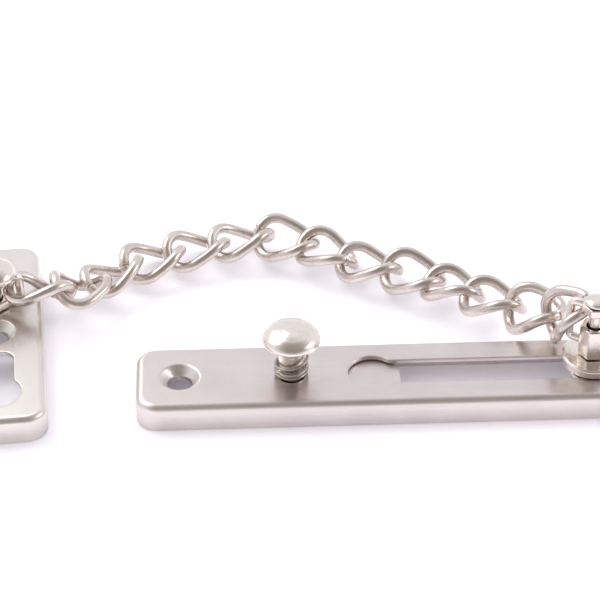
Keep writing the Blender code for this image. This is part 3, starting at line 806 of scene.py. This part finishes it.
def build_anchor_stud(finish):
    """Domed rivet of the anchor plate."""
    low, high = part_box("anchor_stud")
    axis = middle("anchor_stud")
    radius = (high.x - low.x) / MM / 2
    rim = high.z / MM - ANCHOR_HEAD_HEIGHT
    washer_bottom = bottom_of("anchor_washer")
    profile = dome(radius - HEAD_STEP, rim + HEAD_RIM, high.z / MM)
    profile += soften([
        (radius - HEAD_STEP, rim + HEAD_RIM - 0.02),
        (radius, rim + 0.36),
        (radius - 0.08, rim + 0.2),
        (radius - 0.45, rim),
        (PIN_RADIUS, rim),
    ], EDGE_SOFTENING)[1:]
    end = rivet_end(PIN_RADIUS, rim - HEAD_RIM, washer_bottom - SMALL_GAP, low.z / MM)
    profile += soften(end, EDGE_SOFTENING)
    turned_piece("anchor_stud_turned", profile, (axis.x, axis.y, 0.0), "anchor", ["anchor_stud"],
                 finish)


# ---------------------------------------------------------------- shackles

def sleeve(bm, low, high):
    """A six-sided sleeve with softened edges and its bore."""
    corners = []
    for i in range(SLEEVE_SIDES):
        angle = math.pi * (2 * i + 1) / SLEEVE_SIDES
        corners.append((SLEEVE_RADIUS * math.cos(angle), SLEEVE_RADIUS * math.sin(angle)))

    def outline(inset, z):
        share = (SLEEVE_RADIUS - inset) / SLEEVE_RADIUS
        drawn = soften([(x * share, y * share) for x, y in corners],
                       SLEEVE_SOFTENING, 5, closed=True)
        return [(x, y, z) for x, y in drawn]

    loops = []
    for i in range(5):
        angle = math.pi / 2 * i / 4
        loops.append(outline(SLEEVE_EDGE * (1 - math.sin(angle)),
                             high - SLEEVE_EDGE * (1 - math.cos(angle))))
    for i in range(5):
        angle = math.pi / 2 * i / 4
        loops.append(outline(SLEEVE_EDGE * (1 - math.cos(angle)),
                             low + SLEEVE_EDGE * (1 - math.sin(angle))))
    outer = bridge_all(bm, loops)
    bore = bridge_all(bm, [round_hole((0.0, 0.0), BORE_RADIUS, z) for z in (high, low)])
    fill_between(bm, [outer[0], bore[0]])
    fill_between(bm, [outer[-1], bore[-1]])


def eye_path(low_z, high_z, inner_x):
    """Centreline of the bar: out at low_z, up, and back in at high_z."""
    bend = BAR_RADIUS * BEND_SHARE
    path = [Vector((inner_x, 0.0, low_z))]
    for centre_z, start in ((low_z + bend, -90.0), (high_z - bend, 0.0)):
        for step in range(11):
            angle = math.radians(start + 9.0 * step)
            path.append(Vector((BAR_OFFSET - bend + bend * math.cos(angle), 0.0,
                                centre_z + bend * math.sin(angle))))
    path.append(Vector((inner_x, 0.0, high_z)))
    return path


def solid_object(name, fill):
    """A temporary closed mesh in millimetres, filled by a function of a bmesh."""
    bm = bmesh.new()
    fill(bm)
    bmesh.ops.recalc_face_normals(bm, faces=bm.faces)
    mesh = bpy.data.meshes.new(name)
    bm.to_mesh(mesh)
    bm.free()
    made = bpy.data.objects.new(name, mesh)
    bpy.context.scene.collection.objects.link(made)
    return made


def join_solids(first, others):
    """Boolean union of closed meshes, as a new bmesh."""
    for other in others:
        modifier = first.modifiers.new(other.name, "BOOLEAN")
        modifier.object = other
        modifier.operation = "UNION"
        modifier.solver = "EXACT"
    bpy.context.view_layer.update()
    evaluated = first.evaluated_get(bpy.context.evaluated_depsgraph_get())
    joined = bmesh.new()
    joined.from_mesh(evaluated.to_mesh())
    evaluated.to_mesh_clear()
    for made in [first, *others]:
        mesh = made.data
        bpy.data.objects.remove(made, do_unlink=True)
        bpy.data.meshes.remove(mesh)
    return joined


def build_shackle(name, node_name, body, axis, turn, sleeves, rod, finish):
    """Two sleeves round a stud joined by an upright bar."""

    def bar(bm):
        path = eye_path(rod[0], rod[1], BORE_RADIUS + BAR_SINK)
        tube(bm, path, [BAR_RADIUS] * len(path), BAR_SIDES, False)

    lower = solid_object("lower_sleeve", lambda bm: sleeve(bm, *sleeves[0]))
    upper = solid_object("upper_sleeve", lambda bm: sleeve(bm, *sleeves[1]))
    joined = join_solids(lower, [upper, solid_object("bar", bar)])
    finish_mesh(name, joined, body, [node_name], finish, pose_at(axis, turn))


def shackle_turn(axis, bar):
    """Angle of a shackle, from its stud towards its bar."""
    return math.atan2(bar.y - axis.y, bar.x - axis.x)


def build_shackles(finish):
    """The slider's and the anchor's shackle."""
    axis = middle("slider_stud")
    turn = shackle_turn(axis, joint_place("slider_bar"))
    low = bottom_of("slider_shackle")
    high = top_of("slider_shackle")
    build_shackle("slider_shackle_eye", "slider_shackle", "slider_eye", (axis.x, axis.y, 0.0), turn,
                  ((low, LOWER_SLEEVE_TOP), (high - ARM_THICKNESS, high)),
                  (LOWER_BAR_HEIGHT, high - BAR_RADIUS), finish)
    axis = middle("anchor_stud")
    turn = shackle_turn(axis, joint_place("anchor_bar"))
    low = bottom_of("anchor_shackle")
    high = top_of("anchor_shackle")
    build_shackle("anchor_shackle_eye", "anchor_shackle", "anchor_eye", (axis.x, axis.y, 0.0), turn,
                  ((low, low + ARM_THICKNESS), (high - ARM_THICKNESS, high)),
                  (low + BAR_RADIUS, high - BAR_RADIUS), finish)


# ---------------------------------------------------------------- chain and spring

def bar_contact(joint_name, stud_node, play=0.0):
    """Where a link's inner side touches a shackle's bar, with some play."""
    bar = joint_place(joint_name)
    stud = middle(stud_node)
    inward = Vector((stud.x - bar.x, stud.y - bar.y, 0.0)).normalized()
    return bar + inward * (BAR_RADIUS + play)


def chain_contacts():
    """Contact points between neighbours, from the anchor's bar to the slider's."""
    contacts = [bar_contact("anchor_bar", "anchor_stud")]
    for i in range(1, LINK_COUNT):
        contacts.append(joint_place(f"{'turn' if i % 2 else 'lift'}_{i:02d}"))
    contacts.append(bar_contact("slider_bar", "slider_stud", SLIDER_EYE_PLAY))
    return contacts


def link_point(share):
    """Point of the flat link's centreline at a share of its round, as (along, across)."""
    straight = LINK_HALF_LENGTH - LINK_HALF_WIDTH
    arc = math.pi * LINK_HALF_WIDTH
    side = 2 * straight
    place = share % 1.0 * 2 * (arc + side)
    sign = 1.0
    if place >= arc + side:
        place -= arc + side
        sign = -1.0
    if place < arc:
        angle = place / LINK_HALF_WIDTH - math.pi / 2
        return (sign * (straight + LINK_HALF_WIDTH * math.cos(angle)),
                sign * LINK_HALF_WIDTH * math.sin(angle))
    return sign * (straight - (place - arc)), sign * LINK_HALF_WIDTH


def build_link(index, start, end, finish):
    """One twisted link of round wire with its butt joint."""
    along = (end - start).normalized()
    rise = (Vector((0.0, 0.0, 1.0)) - along * along.z).normalized()
    width = rise.cross(along)
    roll = math.radians(LINK_ROLLS[index - 1])
    seam = SEAM_PLACES.get(index, HIDDEN_SEAM)
    round_length = 2 * (math.pi * LINK_HALF_WIDTH + 2 * (LINK_HALF_LENGTH - LINK_HALF_WIDTH))
    shares = [i / LINK_STEPS for i in range(1, LINK_STEPS)]
    offsets = sorted({sign * step * SEAM_WIDTH / round_length
                      for step in SEAM_STEPS for sign in (-1, 1)})
    shares = offsets + [s for s in shares if offsets[-1] < s < 1.0 + offsets[0]]
    path = []
    radii = []
    for share in shares:
        x, y = link_point(share + seam)
        angle = roll - LINK_TWIST / 2 * x / LINK_HALF_LENGTH
        path.append(along * x + (width * math.cos(angle) + rise * math.sin(angle)) * y)
        groove = math.exp(-(share * round_length / SEAM_WIDTH) ** 2)
        radii.append(WIRE_RADIUS - SEAM_DEPTH * groove)
    bm = bmesh.new()
    grain = iter(tube(bm, path, radii, WIRE_SIDES, True, LINK_GRAIN_STEP * index))
    name = f"link_{index:02d}"
    finish_mesh(name + "_wire", bm, f"chain_{name}", [name], finish,
                pose_at((start + end) / 2), lambda co: next(grain))


def build_chain(finish):
    """All fourteen links."""
    contacts = chain_contacts()
    for index in range(1, LINK_COUNT + 1):
        build_link(index, contacts[index - 1], contacts[index], finish)


def coil_height(turn, low, high):
    """Height of the coil's wire after some turns: close at both ends, open between."""
    open_low = low + SPRING_CLOSE_PITCH * SPRING_LOW_TURNS
    open_high = high - SPRING_CLOSE_PITCH * SPRING_HIGH_TURNS
    if turn <= SPRING_LOW_TURNS:
        return low + SPRING_CLOSE_PITCH * turn
    past_low = turn - SPRING_LOW_TURNS
    if past_low <= SPRING_OPEN_TURNS:
        return open_low + (open_high - open_low) * past_low / SPRING_OPEN_TURNS
    return open_high + SPRING_CLOSE_PITCH * (past_low - SPRING_OPEN_TURNS)


def build_spring(finish):
    """Round-wire spring, close-coiled at both ends and open between."""
    low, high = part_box("knob_spring")
    axis = middle("knob_spring")
    knob = middle("press_knob")
    start = low.z / MM + SPRING_WIRE
    end = high.z / MM - SPRING_WIRE
    turns = SPRING_LOW_TURNS + SPRING_OPEN_TURNS + SPRING_HIGH_TURNS
    count = round(turns * SPRING_STEPS)
    path = []
    radii = []
    for i in range(count + 1):
        turn = turns * i / count
        angle = 2 * math.pi * turn
        path.append(Vector((SPRING_RADIUS * math.cos(angle), SPRING_RADIUS * math.sin(angle),
                            coil_height(turn, start, end))))
        radii.append(SPRING_WIRE)
    radii[0] = radii[-1] = SPRING_WIRE * SPRING_END_SHARE
    bm = bmesh.new()
    grain = iter(tube(bm, path, radii, SPRING_SIDES, False))
    spring = finish_mesh("knob_spring_wire", bm, "track", ["knob_spring"], finish,
                         pose_at((knob.x, axis.y, 0.0)), lambda co: next(grain))
    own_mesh(spring)


# ---------------------------------------------------------------- stage

def build_floor():
    """Pale floor that glows, with painted shade where the pieces occlude it."""
    bm = bmesh.new()
    bmesh.ops.create_grid(bm, x_segments=1, y_segments=1, size=FLOOR_SIZE)
    mesh = bpy.data.meshes.new("floor")
    bm.to_mesh(mesh)
    bm.free()
    material = bpy.data.materials.new("floor_glow_painted_shade")
    material.use_nodes = True
    tree = material.node_tree
    shader = tree.nodes["Principled BSDF"]
    shader.inputs["Base Color"].default_value = (0.94, 0.935, 0.94, 1.0)
    shader.inputs["Roughness"].default_value = 0.95
    shader.inputs["Specular IOR Level"].default_value = 0.1
    shader.inputs["Emission Strength"].default_value = 1.0
    # Painted shade: the floor's own glow dims where ambient occlusion finds pieces near, darkest in
    # the holes and under the plates, lavender in the soft shadows.
    reach = {"Distance": SHADOW_REACH * MM}
    painted_shade_occlusion = node(tree, "ShaderNodeAmbientOcclusion", reach, samples=SHADOW_SAMPLES)
    share = ramp_between(tree, painted_shade_occlusion.outputs["AO"], SHADE_FROM, SHADE_TO, 0.0, 1.0)
    glow = mix_colours(tree, share, SHADE_GLOW, OPEN_GLOW)
    tree.links.new(glow, shader.inputs["Emission Color"])
    mesh.materials.append(material)
    floor = bpy.data.objects.new("floor", mesh)
    bpy.context.scene.collection.objects.link(floor)


def build_world():
    """White room with a dimmer side behind the camera."""
    world = bpy.data.worlds.new("studio")
    bpy.context.scene.world = world
    world.use_nodes = True
    tree = world.node_tree
    background = tree.nodes["Background"]
    direction = node(tree, "ShaderNodeTexCoord").outputs["Generated"]
    dim_way = Vector(DIM_WAY).normalized()
    toward = node(tree, "ShaderNodeVectorMath", {0: direction, 1: dim_way}, operation="DOT_PRODUCT")
    share = node(tree, "ShaderNodeMapRange",
                 {"Value": toward.outputs["Value"], "From Min": DIM_FROM, "From Max": DIM_TO},
                 interpolation_type="SMOOTHSTEP")
    colour = mix_colours(tree, share.outputs["Result"], WALL_COLOUR, DIM_COLOUR)
    tree.links.new(colour, background.inputs["Color"])
    background.inputs["Strength"].default_value = 1.0


def add_softbox(name, place, size, power):
    """A large warm area light, placed and sized in metres, that looks at the object."""
    data = bpy.data.lights.new(name, "AREA")
    data.shape = "RECTANGLE"
    data.size, data.size_y = size
    data.energy = power
    data.color = LIGHT_COLOUR
    light = bpy.data.objects.new(name, data)
    bpy.context.scene.collection.objects.link(light)
    light.location = place
    aim = AIM - Vector(place)
    light.rotation_mode = "QUATERNION"
    light.rotation_quaternion = aim.to_track_quat("-Z", "Y")


def build_lights():
    """Soft boxes at the upper left and the lower right."""
    add_softbox("left_box", (-0.42, 0.35, 0.66), (0.56, 0.46), 2.0)
    add_softbox("right_box", (0.72, -0.08, 0.46), (0.42, 0.3), 1.0)


def build_camera():
    """Camera in front of the guard, looking down on it."""
    azimuth, elevation = VIEW_AZIMUTH, VIEW_ELEVATION
    look = Vector((math.sin(azimuth) * math.cos(elevation),
                   math.cos(azimuth) * math.cos(elevation), -math.sin(elevation)))
    flat_right = Vector((math.cos(azimuth), -math.sin(azimuth), 0.0))
    flat_up = flat_right.cross(look)
    right = flat_right * math.cos(VIEW_ROLL) + flat_up * math.sin(VIEW_ROLL)
    up = flat_up * math.cos(VIEW_ROLL) - flat_right * math.sin(VIEW_ROLL)
    data = bpy.data.cameras.new("camera")
    data.lens = LENS
    data.sensor_width = 36.0
    data.clip_start = 0.01
    data.clip_end = 10.0
    camera = bpy.data.objects.new("camera", data)
    bpy.context.scene.collection.objects.link(camera)
    turned = Matrix((right, up, -look)).transposed().to_4x4()
    camera.matrix_world = Matrix.Translation(AIM - look * VIEW_DISTANCE) @ turned
    bpy.context.scene.camera = camera


# ---------------------------------------------------------------- build

def build():
    """Every piece, then the stage."""
    track_satin = brushed_metal("track_satin", *TRACK_TINTS)
    anchor_satin = brushed_metal("anchor_satin", *ANCHOR_TINTS)
    nickel = turned_nickel("turned_nickel", *TURNED_TINTS)
    chain_wire = wire_nickel("chain_wire", *CHAIN_TINTS, CHAIN_ROUGHNESS)
    spring_wire = wire_nickel("spring_wire", *SPRING_TINTS, SPRING_ROUGHNESS)
    build_track_plate(track_satin)
    build_anchor_plate(anchor_satin)
    build_blocking_plate(track_satin)
    build_knob(nickel)
    build_washer("knob_washer_ring", "knob_washer", "knob", BORE_RADIUS, nickel)
    build_slider_stud(nickel)
    build_washer("slider_foot_disc", "slider_foot", "slider", BORE_RADIUS, nickel)
    build_anchor_stud(nickel)
    build_washer("anchor_washer_ring", "anchor_washer", "anchor", BORE_RADIUS, nickel)
    build_shackles(nickel)
    build_chain(chain_wire)
    build_spring(spring_wire)
    build_floor()
    build_world()
    build_lights()
    build_camera()
    bpy.context.scene.view_settings.view_transform = "Standard"


build()
